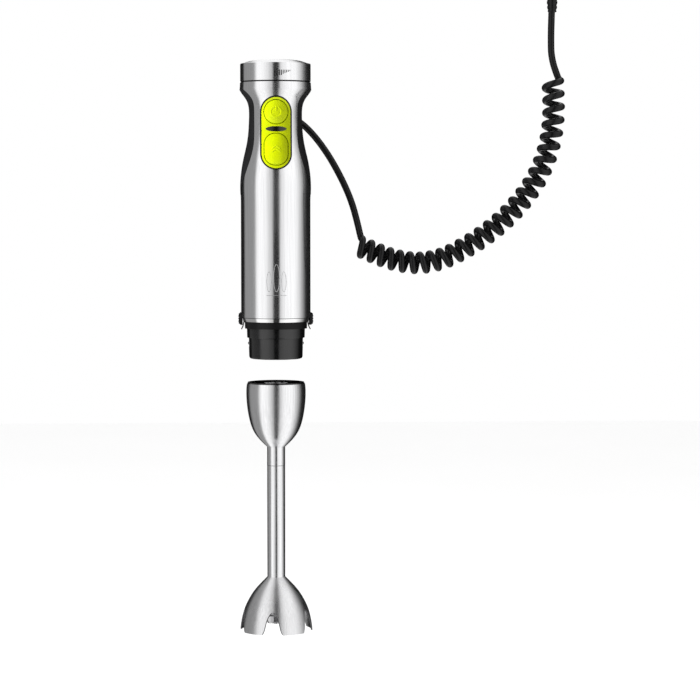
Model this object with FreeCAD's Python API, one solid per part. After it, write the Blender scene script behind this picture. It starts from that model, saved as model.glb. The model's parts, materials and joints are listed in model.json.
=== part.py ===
"""Corded immersion blender: a motor handle, a detachable blending wand and a curly mains cord.

Millimetres, +Z up, front (the buttons) facing -Y. The origin is on the axis of the handle at the waist
of its grip. The wand stands below the handle on the same axis, ready to be pushed up onto the boss.
"""
import FreeCAD, Part
import math
import os

V = FreeCAD.Vector
ORIGIN = V(0, 0, 0)
X = V(1, 0, 0)
Y = V(0, 1, 0)
Z = V(0, 0, 1)

# ---- driving dimensions: handle -------------------------------------------------------------------
SKIN_WALL = 0.8              # steel of the housing
HOUSING_TOP = 23.5
COLLAR_RADIUS = 29.15        # the flared collar under the dial
COLLAR_CORNER_Z = 18.0
WAIST_RADIUS = 21.4
SHOULDER_RADIUS = 28.65
SHOULDER_Z = -64.0
BODY_RADIUS = 28.4
BODY_START_Z = -72.0
HOUSING_BOTTOM = -167.6
RING_BOTTOM = -170.7
COLLAR_BOTTOM = -176.3
SEAT_SHOULDER_Z = -184.0     # where the rim of the wand stops
BOSS_BOTTOM = -201.3
BOSS_SHOULDER_RADIUS = 23.7
BOSS_ROOT_RADIUS = 22.3
BOSS_TIP_RADIUS = 21.9
BOSS_CAVITY_RADIUS = 10.6
GRIP_PROUD = 0.2             # the soft grip stands this much above the steel
GRIP_DEPTH = 2.0

# ---- driving dimensions: dial ---------------------------------------------------------------------
DIAL_RADIUS = 28.7
DIAL_BOTTOM = 24.6
DIAL_EDGE = 38.9
DIAL_APEX = 42.2
DIAL_WALL = 0.9
DOME_RADIUS = 25.5
CROWN_RADIUS = 16.0
CROWN_DROP = 0.5
STEM_RADIUS = 3.0

# ---- driving dimensions: button panel -------------------------------------------------------------
PANEL_CENTRE_Z = -17.6
PANEL_WIDTH = 25.0
PANEL_HEIGHT = 59.0
BEZEL_WIDTH = 23.3
BEZEL_HEIGHT = 57.2
SPEED_BUTTON_Z = -0.7
SPEED_BUTTON_RADIUS = 9.75
TURBO_BUTTON_Z = -30.8
TURBO_BUTTON_WIDTH = 19.3
TURBO_BUTTON_HEIGHT = 25.7
TURBO_BUTTON_CORNER = 8.8
BUTTON_GAP = 0.35
LENS_Z = -14.4
LENS_WIDTH = 17.0
LENS_HEIGHT = 4.2
PANEL_DEPTH = 2.2
BOARD_Y = -9.8
SWITCH_FRONT_Y = -13.0

# ---- driving dimensions: release catches ----------------------------------------------------------
PAD_OUTER = 30.8
PAD_INNER = 27.2
PAD_TOP = -163.4
PAD_BOTTOM = -173.6
PAD_WIDTH = 13.0
CATCH_WIDTH = 8.0
FINGER_WIDTH = 5.0
NOSE_REACH = 22.75

# ---- driving dimensions: motor --------------------------------------------------------------------
CHASSIS_RADIUS = 27.4
CHASSIS_WALL = 1.8
NECK_CHASSIS_RADIUS = 19.0
SHAFT_RADIUS = 3.0
SHAFT_RUN = 0.05             # radial clearance of a running fit
CORE_TOP = -104.0
CORE_BOTTOM = -132.0
ARMATURE_RADIUS = 12.4
STATOR_RADIUS = 25.3
STATOR_FLAT = 19.5
COUPLER_FLATS = 6.6

# ---- driving dimensions: wand ---------------------------------------------------------------------
CUP_RIM_Z = -221.6
CUP_RIM_RADIUS = 23.7
CUP_BELLY_RADIUS = 24.35
CUP_FOOT_Z = -273.9
TUBE_RADIUS = 7.4
CUP_WALL = 0.55
LINER_INNER = 22.75
LINER_LIP = 1.0
LINER_FLOOR_Z = -247.0
TOWER_RADIUS = 9.6
TOWER_BORE = 7.0
TUBE_SEAM_Z = -289.0
BELL_TOP = -381.3
BELL_RIM_Z = -425.5
BELL_RIM_RADIUS = 29.8
BELL_WALL = 1.1
ARCH_COUNT = 5
ARCH_FIRST = -7.6            # degrees from the front towards +X
ARCH_HEIGHT = 18.0
ARCH_HALF_WIDTH = 8.6
DRIVE_RADIUS = 2.5
SOCKET_TOP = -224.0
SOCKET_BOTTOM = -242.0
SOCKET_FLATS = 7.2
BLADE_Z = -414.0
BLADE_REACH = 20.5

# ---- driving dimensions: cord ---------------------------------------------------------------------
CORD_DIAMETER = 5.6
CURL_DIAMETER = 19.4
GLAND_RADIUS = 5.6
GLAND_MOUTH = V(0, 26.0, 9.0)
GLAND_FLANGE_Y = 18.2
LEAD_ROUTE = [
    (0, 26.0, 9.0), (0, 41.0, 6.4), (5.8, 53.0, 2.8), (17.0, 60.5, -2.8), (29.6, 60.5, -12.6),
    (43.3, 56.0, -30.2), (55.1, 49.0, -51.2), (64.0, 42.0, -71.8), (68.8, 36.0, -90.4), (69.6, 32.0, -105.0),
]
CURL_ROUTE = [
    (69.2, 31.0, -109.5), (84.6, 30.5, -116.6), (101.0, 30.0, -122.2), (119.6, 30.0, -124.6),
    (138.8, 30.0, -121.2), (156.6, 30.0, -112.4), (174.3, 30.0, -101.4), (191.3, 30.0, -87.8),
    (206.9, 30.0, -70.9), (219.3, 30.0, -52.2), (227.6, 30.0, -31.6), (231.6, 30.5, -11.2), (232.4, 31.5, 9.4),
    (231.4, 32.5, 29.0),
]
TAIL_ROUTE = [
    (231.4, 32.5, 29.0), (230.2, 33.2, 46.0), (229.8, 33.0, 64.0), (230.2, 32.6, 82.0), (230.6, 32.6, 98.0),
]
RELIEF_STEP = 4.0
RELIEF_STEPS = 7             # the strain relief is this many steps long
RELIEF_ROOT_RADIUS = 4.8
RELIEF_TIP_RADIUS = 3.5
PLUG_RELIEF_RADII = (3.9, 5.6)
PLUG_RELIEF_LENGTH = 24.0
PLUG_LENGTH = 38.0
PIN_RADIUS = 2.4
PIN_LENGTH = 19.0
PIN_SPACING = 19.0


# ---- small helpers --------------------------------------------------------------------------------
def profile_point(radius, height):
    """A point of an outline in the plane of X and Z, given as radius and height."""
    return V(radius, 0, height)


def line(start, end):
    return Part.LineSegment(start, end).toShape()


def arc(start, middle, end):
    return Part.Arc(start, middle, end).toShape()


def spline(points):
    curve = Part.BSplineCurve()
    curve.interpolate(points)
    return curve.toShape()


def revolve_edges(edges, angle=360.0):
    face = Part.Face(Part.Wire(edges))
    return face.revolve(ORIGIN, Z, angle)


def revolve(outline, angle=360.0):
    """Solid of revolution of a closed outline of (radius, height) corners."""
    points = [profile_point(*corner) for corner in outline]
    edges = [line(a, b) for a, b in zip(points, points[1:] + points[:1])]
    return revolve_edges(edges, angle)


def disc(radius, bottom, top, centre_x=0.0, centre_y=0.0):
    return Part.makeCylinder(radius, top - bottom, V(centre_x, centre_y, bottom), Z)


def ring(outer, inner, bottom, top):
    return disc(outer, bottom, top).cut(disc(inner, bottom - 1, top + 1))


def block(x0, x1, y0, y1, z0, z1):
    return Part.makeBox(x1 - x0, y1 - y0, z1 - z0, V(x0, y0, z0))


def both_sides(shape):
    """The shape and its mirror image across the plane of Y and Z."""
    return [shape, shape.mirror(ORIGIN, X)]


def cut_all(shape, tools):
    for tool in tools:
        shape = shape.cut(tool)
    return shape


def front_prism(edges, depth=40.0):
    """A prism that runs forwards, along -Y, from an outline in the plane of X and Z."""
    return Part.Face(Part.Wire(edges)).extrude(V(0, -depth, 0))


def stadium(width, height, centre_z, depth=40.0):
    """Prism of an upright slot with round ends, running forwards from the axis."""
    radius = width / 2
    top = centre_z + height / 2 - radius
    bottom = centre_z - height / 2 + radius
    edges = [
        line(V(radius, 0, bottom), V(radius, 0, top)),
        arc(V(radius, 0, top), V(0, 0, top + radius), V(-radius, 0, top)),
        line(V(-radius, 0, top), V(-radius, 0, bottom)),
        arc(V(-radius, 0, bottom), V(0, 0, bottom - radius), V(radius, 0, bottom)),
    ]
    return front_prism(edges, depth)


def rounded_prism(width, height, corner, centre_z, depth=40.0):
    """Prism of an upright rectangle with round corners, running forwards from the axis."""
    half = width / 2
    top = centre_z + height / 2
    bottom = centre_z - height / 2
    bend = corner * (1 - math.sqrt(0.5))
    edges = []
    for side, vertical in ((1, 1), (-1, -1)):
        level = top if vertical > 0 else bottom
        other = bottom if vertical > 0 else top
        edges.append(line(V(side * half, 0, other + vertical * corner), V(side * half, 0, level - vertical * corner)))
        edges.append(arc(
            V(side * half, 0, level - vertical * corner),
            V(side * (half - bend), 0, level - vertical * bend),
            V(side * (half - corner), 0, level)))
        edges.append(line(V(side * (half - corner), 0, level), V(-side * (half - corner), 0, level)))
        edges.append(arc(
            V(-side * (half - corner), 0, level),
            V(-side * (half - bend), 0, level - vertical * bend),
            V(-side * half, 0, level - vertical * corner)))
    return front_prism(edges, depth)


def hexagon(flats, bottom, top):
    """Upright hexagonal prism on the axis, by its width across the flats."""
    corner = flats / math.sqrt(3)
    points = [V(corner * math.cos(math.radians(60 * i)), corner * math.sin(math.radians(60 * i)), bottom)
              for i in range(6)]
    wire = Part.Wire([line(a, b) for a, b in zip(points, points[1:] + points[:1])])
    return Part.Face(wire).extrude(V(0, 0, top - bottom))


def save(name, shapes):
    """Write one named piece, or one group of like pieces, as a STEP file."""
    solids = []
    for shape in (shapes if isinstance(shapes, list) else [shapes]):
        solids.extend(shape.Solids)
    whole = solids[0] if len(solids) == 1 else Part.makeCompound(solids)
    if not all(solid.isValid() and solid.Volume > 0 for solid in solids):
        print("NOT VALID", name)
    whole.exportStep(os.path.join("parts", name + ".step"))
    box = whole.BoundBox
    print("%-22s solids %d  volume %9.1f  z %7.1f to %7.1f" % (name, len(solids), whole.Volume, box.ZMin, box.ZMax))


# ---- the skin of the handle -----------------------------------------------------------------------
def skin(offset, bottom=HOUSING_BOTTOM):
    """The filled outer form of the handle, grown or shrunk in radius by the offset."""
    neck = [
        (COLLAR_RADIUS, COLLAR_CORNER_Z), (26.9, 14.2), (24.0, 10.2), (22.2, 6.0), (WAIST_RADIUS, 0.0),
        (21.55, -9.0), (22.3, -19.7), (24.0, -29.5), (26.3, -39.4), (27.9, -49.2),
        (SHOULDER_RADIUS, SHOULDER_Z),
    ]
    neck_points = [profile_point(radius + offset, height) for radius, height in neck]
    top_edge = profile_point(COLLAR_RADIUS - 0.3 + offset, HOUSING_TOP)
    straight_top = profile_point(BODY_RADIUS + offset, BODY_START_Z)
    straight_bottom = profile_point(BODY_RADIUS + offset, bottom)
    edges = [
        line(profile_point(0, HOUSING_TOP), top_edge),
        line(top_edge, neck_points[0]),
        spline(neck_points),
        line(neck_points[-1], straight_top),
        line(straight_top, straight_bottom),
        line(straight_bottom, profile_point(0, bottom)),
        line(profile_point(0, bottom), profile_point(0, HOUSING_TOP)),
    ]
    return revolve_edges(edges)


def grip_region():
    """The space of the soft grip: it wraps the back of the neck and ends in a bow on each side."""
    edge = [
        (29.6, 19.0), (23.2, 14.4), (18.6, 7.4), (17.8, 0.0), (17.7, -12.0), (18.6, -29.0), (21.6, -40.4),
        (25.4, -51.7), (27.6, -59.4), (29.6, -66.0),
    ]
    side = 40.0
    front = []
    for mirror in (1, -1):
        bow = [V(mirror * x, 0, z) for x, z in edge]
        corner_top = V(mirror * side, 0, edge[0][1])
        corner_bottom = V(mirror * side, 0, edge[-1][1])
        front.append(front_prism([
            spline(bow), line(bow[-1], corner_bottom), line(corner_bottom, corner_top), line(corner_top, bow[0]),
        ]))
    low = edge[-1][1]
    tongue = [
        line(V(-side, 0, low), V(-side, 0, edge[0][1])),
        line(V(-side, 0, edge[0][1]), V(side, 0, edge[0][1])),
        line(V(side, 0, edge[0][1]), V(side, 0, low)),
        line(V(side, 0, low), V(edge[-1][0], 0, low)),
        arc(V(edge[-1][0], 0, low), V(0, 0, low - 16), V(-edge[-1][0], 0, low)),
        line(V(-edge[-1][0], 0, low), V(-side, 0, low)),
    ]
    back = Part.Face(Part.Wire(tongue)).extrude(V(0, side, 0))
    region = back.fuse(front)
    return region.common(block(-side, side, -side, side, low - 20, COLLAR_CORNER_Z))


def release_slots(depth_from, top):
    """The two side slots in which the release pads and catches travel."""
    half = PAD_WIDTH / 2 + 1.0
    slot = block(depth_from, 40, -half, half, COLLAR_BOTTOM - 1, top)
    return both_sides(slot)


def screw_places():
    return [(0.0, 20.0), (0.0, -20.0)]


# ---- handle: outside ------------------------------------------------------------------------------
def make_housing_and_grip():
    region = grip_region()
    inner = skin(-SKIN_WALL, HOUSING_BOTTOM - 1)
    top_bore = disc(COLLAR_RADIUS - 0.3 - SKIN_WALL, HOUSING_TOP - 1, HOUSING_TOP + 1)
    housing = skin(0).cut(inner).cut(top_bore).cut(region)
    housing = housing.cut(stadium(PANEL_WIDTH, PANEL_HEIGHT, PANEL_CENTRE_Z))
    half = PAD_WIDTH / 2 + 0.4
    housing = cut_all(housing, both_sides(block(20, 40, -half, half, HOUSING_BOTTOM - 1, PAD_TOP + 0.4)))
    save("steel_housing", housing)

    grip = skin(GRIP_PROUD).cut(skin(-GRIP_DEPTH)).common(region)
    grip = grip.cut(Part.makeCylinder(GLAND_RADIUS, 60, V(0, 0, GLAND_MOUTH.z), Y))
    grip = grip.cut(disc(CHASSIS_RADIUS + 0.05, -90.0, -66.0))
    save("rear_grip", grip)


def make_button_panel():
    outer = stadium(PANEL_WIDTH, PANEL_HEIGHT, PANEL_CENTRE_Z)
    inner = stadium(BEZEL_WIDTH, BEZEL_HEIGHT, PANEL_CENTRE_Z)
    back = skin(-PANEL_DEPTH)
    speed_hole = Part.makeCylinder(SPEED_BUTTON_RADIUS + BUTTON_GAP, 40, V(0, 0, SPEED_BUTTON_Z), V(0, -1, 0))
    turbo_hole = rounded_prism(TURBO_BUTTON_WIDTH + 2 * BUTTON_GAP, TURBO_BUTTON_HEIGHT + 2 * BUTTON_GAP,
                               TURBO_BUTTON_CORNER + BUTTON_GAP, TURBO_BUTTON_Z)
    ellipse = Part.Ellipse(V(0, 0, LENS_Z), LENS_WIDTH / 2, LENS_HEIGHT / 2)
    ellipse.rotate(FreeCAD.Placement(V(0, 0, LENS_Z), FreeCAD.Rotation(X, 90), ORIGIN))
    ellipse.Center = V(0, 0, LENS_Z)
    lens_prism = front_prism([ellipse.toShape()])
    save("button_surround", skin(0.1).cut(back).common(outer.cut(inner)))
    bezel = skin(0.3).cut(back).common(inner)
    save("button_bezel", cut_all(bezel, [speed_hole, turbo_hole, lens_prism]))
    save("indicator_lens", skin(0.45).cut(back).common(lens_prism))


def make_buttons():
    """Both buttons follow the curve of the panel, stand proud of it and carry a stem to their switch."""
    proud = skin(1.5).cut(skin(-PANEL_DEPTH))
    speed_prism = Part.makeCylinder(SPEED_BUTTON_RADIUS, 40, V(0, 0, SPEED_BUTTON_Z), V(0, -1, 0))
    turbo_prism = rounded_prism(TURBO_BUTTON_WIDTH, TURBO_BUTTON_HEIGHT, TURBO_BUTTON_CORNER, TURBO_BUTTON_Z)
    stem_end = SWITCH_FRONT_Y - 2.0
    for name, prism, height in (("speed_button", speed_prism, SPEED_BUTTON_Z),
                                ("turbo_button", turbo_prism, TURBO_BUTTON_Z)):
        stem = Part.makeCylinder(2.0, 12.0, V(0, stem_end, height), V(0, -1, 0)).common(skin(0.5))
        save(name, proud.common(prism).fuse(stem).removeSplitter())


def dome_lines(drop, inset):
    """The low dome of the dial: a rounded edge and a nearly flat crown, from its rim to the axis."""
    rim = profile_point(DOME_RADIUS - inset, DIAL_EDGE + 0.6 - drop)
    shoulder = profile_point(21.3 - inset / 2, DIAL_APEX - 1.3 - drop)
    crown_edge = profile_point(CROWN_RADIUS, DIAL_APEX - CROWN_DROP - drop)
    sphere = (CROWN_RADIUS ** 2 + CROWN_DROP ** 2) / (2 * CROWN_DROP)
    half = CROWN_RADIUS / 2
    middle = profile_point(half, DIAL_APEX - drop - sphere + math.sqrt(sphere ** 2 - half ** 2))
    return [arc(rim, shoulder, crown_edge), arc(crown_edge, middle, profile_point(0, DIAL_APEX - drop))]


def make_dial():
    skirt_top = DIAL_EDGE - 0.8
    bore = DIAL_RADIUS - DIAL_WALL
    corner = profile_point(DIAL_RADIUS - 0.9, DIAL_EDGE)
    rim = profile_point(DOME_RADIUS, DIAL_EDGE + 0.6)
    inner_rim = profile_point(DOME_RADIUS - 1.0, DIAL_EDGE + 0.6 - DIAL_WALL)
    outline = [
        line(profile_point(bore, DIAL_BOTTOM), profile_point(DIAL_RADIUS, DIAL_BOTTOM)),
        line(profile_point(DIAL_RADIUS, DIAL_BOTTOM), profile_point(DIAL_RADIUS, skirt_top)),
        arc(profile_point(DIAL_RADIUS, skirt_top), profile_point(DIAL_RADIUS - 0.25, DIAL_EDGE - 0.2), corner),
        line(corner, rim),
    ]
    outline += dome_lines(0.0, 0.0)
    outline.append(line(profile_point(0, DIAL_APEX), profile_point(0, DIAL_APEX - DIAL_WALL)))
    outline += dome_lines(DIAL_WALL, 1.0)
    outline.append(line(inner_rim, profile_point(bore, skirt_top - 0.6)))
    outline.append(line(profile_point(bore, skirt_top - 0.6), profile_point(bore, DIAL_BOTTOM)))
    face = Part.Face(Part.Wire(Part.sortEdges(outline)[0]))
    save("dial_cap", face.revolve(ORIGIN, Z, 360))
    save("dial_hub", revolve([(0, 12.5), (STEM_RADIUS, 12.5), (STEM_RADIUS, 26.0), (bore, 26.0),
                              (bore, 33.0), (bore - 1.6, 33.0), (bore - 1.6, 28.0), (0, 28.0)]))


def make_dial_seat():
    bore = COLLAR_RADIUS - 0.3 - SKIN_WALL
    save("dial_seat", revolve([(STEM_RADIUS + 0.4, 20.0), (bore - 0.5, 20.0), (bore - 0.5, HOUSING_TOP),
                               (bore + 0.2, HOUSING_TOP), (bore + 0.2, DIAL_BOTTOM - 0.3),
                               (STEM_RADIUS + 0.4, DIAL_BOTTOM - 0.3)]))


def make_base():
    slots = release_slots(18.6, PAD_TOP + 2)
    screws = []
    for x, y in screw_places():
        screws.append(disc(1.5, -176.3, -158.0, x, y).fuse(disc(2.8, -176.3, -174.2, x, y)).removeSplitter())
    save("chassis_screws", screws)
    base = revolve([(12, HOUSING_BOTTOM), (28.2, HOUSING_BOTTOM), (26.9, RING_BOTTOM), (12, RING_BOTTOM)])
    save("base_ring", cut_all(base, slots + screws))
    collar = revolve([(12, RING_BOTTOM), (26.4, RING_BOTTOM), (26.4, COLLAR_BOTTOM), (12, COLLAR_BOTTOM)])
    save("coupling_collar", cut_all(collar, slots + screws))
    boss = revolve([
        (4.7, -166.5), (11.9, -166.5), (11.9, COLLAR_BOTTOM), (23.9, COLLAR_BOTTOM),
        (BOSS_SHOULDER_RADIUS, SEAT_SHOULDER_Z + 0.3), (BOSS_SHOULDER_RADIUS - 0.3, SEAT_SHOULDER_Z),
        (BOSS_ROOT_RADIUS, SEAT_SHOULDER_Z - 0.4), (BOSS_TIP_RADIUS, BOSS_BOTTOM + 1.8),
        (BOSS_TIP_RADIUS - 0.6, BOSS_BOTTOM + 0.5), (BOSS_TIP_RADIUS - 1.9, BOSS_BOTTOM),
        (BOSS_CAVITY_RADIUS, BOSS_BOTTOM), (BOSS_CAVITY_RADIUS, SEAT_SHOULDER_Z + 0.6),
        (4.7, SEAT_SHOULDER_Z + 0.6),
    ])
    half = FINGER_WIDTH / 2 + 0.5
    finger_slots = both_sides(block(18.6, 26, -half, half, -191.5, COLLAR_BOTTOM))
    heads = [disc(2.8, -176.3, -174.2, x, y) for x, y in screw_places()]
    save("coupling_boss", cut_all(boss, finger_slots + heads))


def make_release(side):
    """One release: a pad on the side of the handle and the sprung steel catch behind it."""
    name = "right" if side > 0 else "left"
    pad = block(PAD_INNER, PAD_OUTER, -PAD_WIDTH / 2, PAD_WIDTH / 2, PAD_BOTTOM, PAD_TOP)
    upright = [edge for edge in pad.Edges if edge.BoundBox.XMin > PAD_OUTER - 0.1]
    pad = pad.makeFillet(1.0, upright)
    strip = [(26.4, -165.0), (27.15, -165.0), (27.15, -168.0), (26.6, -171.0), (27.2, -174.2), (28.5, -177.0),
             (27.8, -177.3), (26.4, -174.5), (25.8, -171.6), (22.0, -171.6), (21.6, -172.0), (21.6, -187.2),
             (NOSE_REACH, -188.0), (NOSE_REACH, -189.0), (21.6, -190.5), (20.7, -190.5), (20.7, -170.7),
             (26.0, -170.7), (26.4, -168.0)]
    points = [V(x, -CATCH_WIDTH / 2, z) for x, z in strip]
    wire = Part.Wire([line(a, b) for a, b in zip(points, points[1:] + points[:1])])
    catch = Part.Face(wire).extrude(V(0, CATCH_WIDTH, 0))
    waste = (CATCH_WIDTH - FINGER_WIDTH) / 2
    for edge_y in (-CATCH_WIDTH / 2, CATCH_WIDTH / 2 - waste):
        catch = catch.cut(block(20, 24, edge_y, edge_y + waste, -192, -170))
    if side < 0:
        pad = pad.mirror(ORIGIN, X)
        catch = catch.mirror(ORIGIN, X)
    save(name + "_release_pad", pad)
    save(name + "_release_catch", catch)


# ---- handle: inside -------------------------------------------------------------------------------
def make_chassis():
    """Two moulded halves that meet in the plane of X and Z and carry the motor and the board."""
    barrel = ring(CHASSIS_RADIUS, CHASSIS_RADIUS - CHASSIS_WALL, -166.4, -70.0)
    deck = ring(CHASSIS_RADIUS, NECK_CHASSIS_RADIUS - 1.6, -70.0, -68.0)
    neck = ring(NECK_CHASSIS_RADIUS, NECK_CHASSIS_RADIUS - 1.6, -68.0, 19.9)
    floor = ring(CHASSIS_RADIUS - CHASSIS_WALL, 12.5, -166.4, -163.0)
    posts = [disc(4.0, -163.0, -156.0, x, y) for x, y in screw_places()]
    whole = barrel.fuse([deck, neck, floor] + posts)
    screws = [disc(1.5, -177.0, -158.0, x, y) for x, y in screw_places()]
    gland = Part.makeCylinder(7.0, 40, V(0, 0, GLAND_MOUTH.z), Y)
    window = stadium(PANEL_WIDTH - 1.0, PANEL_HEIGHT - 1.0, PANEL_CENTRE_Z)
    whole = cut_all(whole, release_slots(18.6, PAD_TOP + 2) + screws + [gland, window])
    side = 60.0
    save("chassis_front", whole.common(block(-side, side, -side, -0.02, -200, 60)))
    save("chassis_rear", whole.common(block(-side, side, 0.02, side, -200, 60)))


def make_electronics():
    save("control_board", block(-13.5, 13.5, BOARD_Y, BOARD_Y + 1.6, -56.0, 8.0))
    switches = [block(-6.4, 6.4, SWITCH_FRONT_Y, BOARD_Y, z - 3, z + 3) for z in (SPEED_BUTTON_Z, TURBO_BUTTON_Z)]
    save("microswitches", switches)
    body = block(-8, 8, -8, 8, 11.0, 19.8)
    save("speed_potentiometer", body.cut(disc(STEM_RADIUS + 0.3, 12.0, 21.0)))


def make_motor():
    bore = SHAFT_RADIUS + SHAFT_RUN
    upper = disc(CHASSIS_RADIUS - CHASSIS_WALL, -78.0, -74.0).cut(disc(8.0, -80, -70))
    for x0, x1 in ((12.5, 20.0), (-20.0, -12.5)):
        upper = upper.fuse(block(x0, x1, -4.5, 4.5, -95.0, -76.0))
    brush_way = block(-30, 30, -3.0, 3.0, -93.0, -87.0)
    save("upper_motor_bracket", upper.cut(brush_way).removeSplitter())
    brushes = []
    for x0, x1 in ((9.35, 19.0), (-19.0, -9.35)):
        brushes.append(block(x0, x1, -3.0, 3.0, -93.0, -87.0))
    save("carbon_brushes", brushes)
    lower = disc(CHASSIS_RADIUS - CHASSIS_WALL, -150.0, -146.0).cut(disc(8.0, -152, -144))
    for step in range(4):
        angle = math.radians(45 + 90 * step)
        lower = lower.cut(disc(4.5, -152, -144, 16 * math.cos(angle), 16 * math.sin(angle)))
    save("lower_motor_bracket", lower)
    save("motor_bearings", [ring(8.0, bore, -79.0, -73.0), ring(8.0, bore, -151.0, -145.0)])

    core = disc(STATOR_RADIUS, CORE_BOTTOM, CORE_TOP)
    core = core.common(block(-30, 30, -STATOR_FLAT, STATOR_FLAT, CORE_BOTTOM - 1, CORE_TOP + 1))
    save("stator_core", core.cut(disc(ARMATURE_RADIUS + 0.5, CORE_BOTTOM - 1, CORE_TOP + 1)))
    coils = []
    for bottom, top in ((CORE_TOP, CORE_TOP + 5), (CORE_BOTTOM - 5, CORE_BOTTOM)):
        half_coil = revolve([(14, bottom), (19, bottom), (19, top), (14, top)], 110)
        half_coil.rotate(ORIGIN, Z, 35)
        coils.append(half_coil)
        coils.append(half_coil.mirror(ORIGIN, Y))
    save("field_winding", coils)

    save("motor_shaft", disc(SHAFT_RADIUS, -186.0, -72.0))
    save("commutator", ring(9.0, SHAFT_RADIUS, -96.0, -84.0))
    armature = ring(ARMATURE_RADIUS, SHAFT_RADIUS, CORE_BOTTOM, CORE_TOP)
    slots = []
    for step in range(12):
        angle = math.radians(30 * step)
        slots.append(disc(1.1, CORE_BOTTOM - 1, CORE_TOP + 1, 11.6 * math.cos(angle), 11.6 * math.sin(angle)))
    save("armature_core", cut_all(armature, slots))
    save("armature_winding", [ring(11.2, SHAFT_RADIUS, CORE_TOP, CORE_TOP + 6.5),
                              ring(11.2, SHAFT_RADIUS, CORE_BOTTOM - 6.0, CORE_BOTTOM)])
    fan = ring(6.0, SHAFT_RADIUS, -144.4, -139.0).fuse(ring(22.0, 6.0, -139.8, -139.0))
    blades = []
    for step in range(10):
        vane = block(5.5, 21.5, -0.6, 0.6, -144.4, -139.4)
        vane.rotate(ORIGIN, Z, 36 * step)
        blades.append(vane)
    save("cooling_fan", fan.fuse(blades).cut(disc(SHAFT_RADIUS, -150, -130)).removeSplitter())
    coupler = disc(4.2, -186.4, -178.0).fuse(hexagon(COUPLER_FLATS, -199.0, -186.4))
    save("drive_coupler", coupler.cut(disc(SHAFT_RADIUS, -186.0, -170)).removeSplitter())


# ---- wand -----------------------------------------------------------------------------------------
def cup_outline(inset, drop):
    """Outer line of the cup from its rim to its foot, moved inwards and along the axis."""
    rim = [(CUP_RIM_RADIUS, CUP_RIM_Z), (24.2, -224.8), (CUP_BELLY_RADIUS, -228.4), (23.8, -239.4), (22.0, -250.5),
           (18.1, -261.6), (12.5, -269.0), (TUBE_RADIUS, CUP_FOOT_Z)]
    return [profile_point(radius - inset, height + drop) for radius, height in rim]


def make_cup():
    outer = cup_outline(0, 0)
    inner = cup_outline(CUP_WALL, 0)
    cup = revolve_edges([spline(outer), line(outer[-1], inner[-1]), spline(inner), line(inner[0], outer[0])])
    save("wand_cup", cup)

    gap = 0.02
    liner_wall = CUP_RIM_RADIUS - CUP_WALL - gap - LINER_INNER
    outside = [point for point in cup_outline(CUP_WALL + gap, 0) if point.z > -251]
    outside[-1] = profile_point(22.05 - CUP_WALL - gap, -250.0)
    inside = [V(point.x - liner_wall, 0, point.z) for point in outside]
    inside[-1] = profile_point(inside[-1].x, LINER_FLOOR_Z)
    lip = profile_point(CUP_RIM_RADIUS - 0.3, CUP_RIM_Z)
    lip_top = profile_point(CUP_RIM_RADIUS - 0.4, CUP_RIM_Z + LINER_LIP)
    lip_inner = profile_point(LINER_INNER, CUP_RIM_Z + LINER_LIP)
    floor_edge = profile_point(TOWER_RADIUS, LINER_FLOOR_Z)
    floor_low = profile_point(TOWER_RADIUS, -250.0)
    liner = revolve_edges([
        spline(outside), line(outside[-1], floor_low), line(floor_low, floor_edge), line(floor_edge, inside[-1]),
        spline(inside), line(inside[0], lip_inner), line(lip_inner, lip_top), line(lip_top, lip),
        line(lip, outside[0]),
    ])
    channel = FINGER_WIDTH / 2 + 0.6
    keyways = both_sides(block(20, 30, -channel, channel, LINER_FLOOR_Z + 6, CUP_RIM_Z + 2))
    save("cup_liner", cut_all(liner, keyways))

    tower = ring(TOWER_RADIUS, TOWER_BORE, -250.0, CUP_RIM_Z - 0.6)
    save("socket_tower", tower.fuse(ring(13.0, 6.72, -252.0, -250.0)).removeSplitter())
    save("socket_ring", ring(TOWER_RADIUS, TOWER_RADIUS - 1.1, CUP_RIM_Z - 0.6, CUP_RIM_Z + 0.1))


def make_shaft_tube():
    spigot = TUBE_RADIUS - CUP_WALL - 0.02
    save("wand_sleeve", revolve([(6.0, TUBE_SEAM_Z), (TUBE_RADIUS, TUBE_SEAM_Z), (TUBE_RADIUS, CUP_FOOT_Z),
                                 (spigot, CUP_FOOT_Z), (spigot, -268.0), (6.7, -268.0), (6.7, -252.0),
                                 (6.0, -252.0)]))
    save("wand_tube", ring(TUBE_RADIUS - 0.05, 6.3, BELL_TOP, TUBE_SEAM_Z - 0.1))


def bell_outline(inset, drop):
    bell = [(TUBE_RADIUS, BELL_TOP), (12.95, -387.0), (18.6, -393.6), (22.7, -400.2), (25.8, -406.7),
            (28.2, -415.0), (BELL_RIM_RADIUS, BELL_RIM_Z)]
    return [profile_point(radius - inset, height - drop) for radius, height in bell]


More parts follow.
